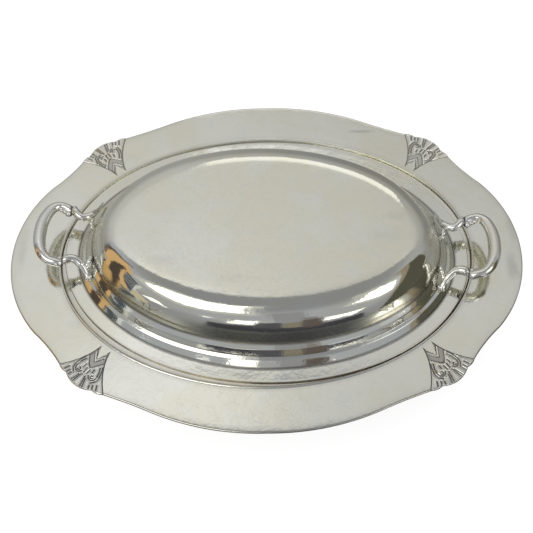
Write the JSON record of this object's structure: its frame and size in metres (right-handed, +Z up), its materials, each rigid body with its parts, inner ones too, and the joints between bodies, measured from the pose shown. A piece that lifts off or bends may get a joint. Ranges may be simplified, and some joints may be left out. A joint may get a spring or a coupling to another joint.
{
  "type": "covered vegetable dish",
  "caption": "Oval silver-plated serving dish with a lobed flat rim, struck corner ornaments and a domed lift-off cover with scroll loop handles.",
  "frame": {"origin": "on the table under the middle of the dish", "axes": "+X along the dish's long side to the right handle, +Y to the back, +Z up"},
  "size_m": [0.34, 0.248, 0.0785],
  "materials": {
    "worn_silver": "silver plate with a satin wear, fine scratches and light tarnish",
    "bright_silver": "cast silver plate, bright on the ridges and dark in the hollows"
  },
  "bodies": {
    "base": {"base_dish": "worn_silver", "corner_mount_front_left": "bright_silver", "corner_mount_front_right": "bright_silver", "corner_mount_back_left": "bright_silver", "corner_mount_back_right": "bright_silver"},
    "cover": {"cover": "worn_silver", "handle_left": "bright_silver", "handle_right": "bright_silver"}
  },
  "joints": [
    {"name": "cover_lift", "type": "slide", "parent": "base", "child": "cover", "axis": [0, 0, 1], "range_m": [0, 0.12]}
  ]
}
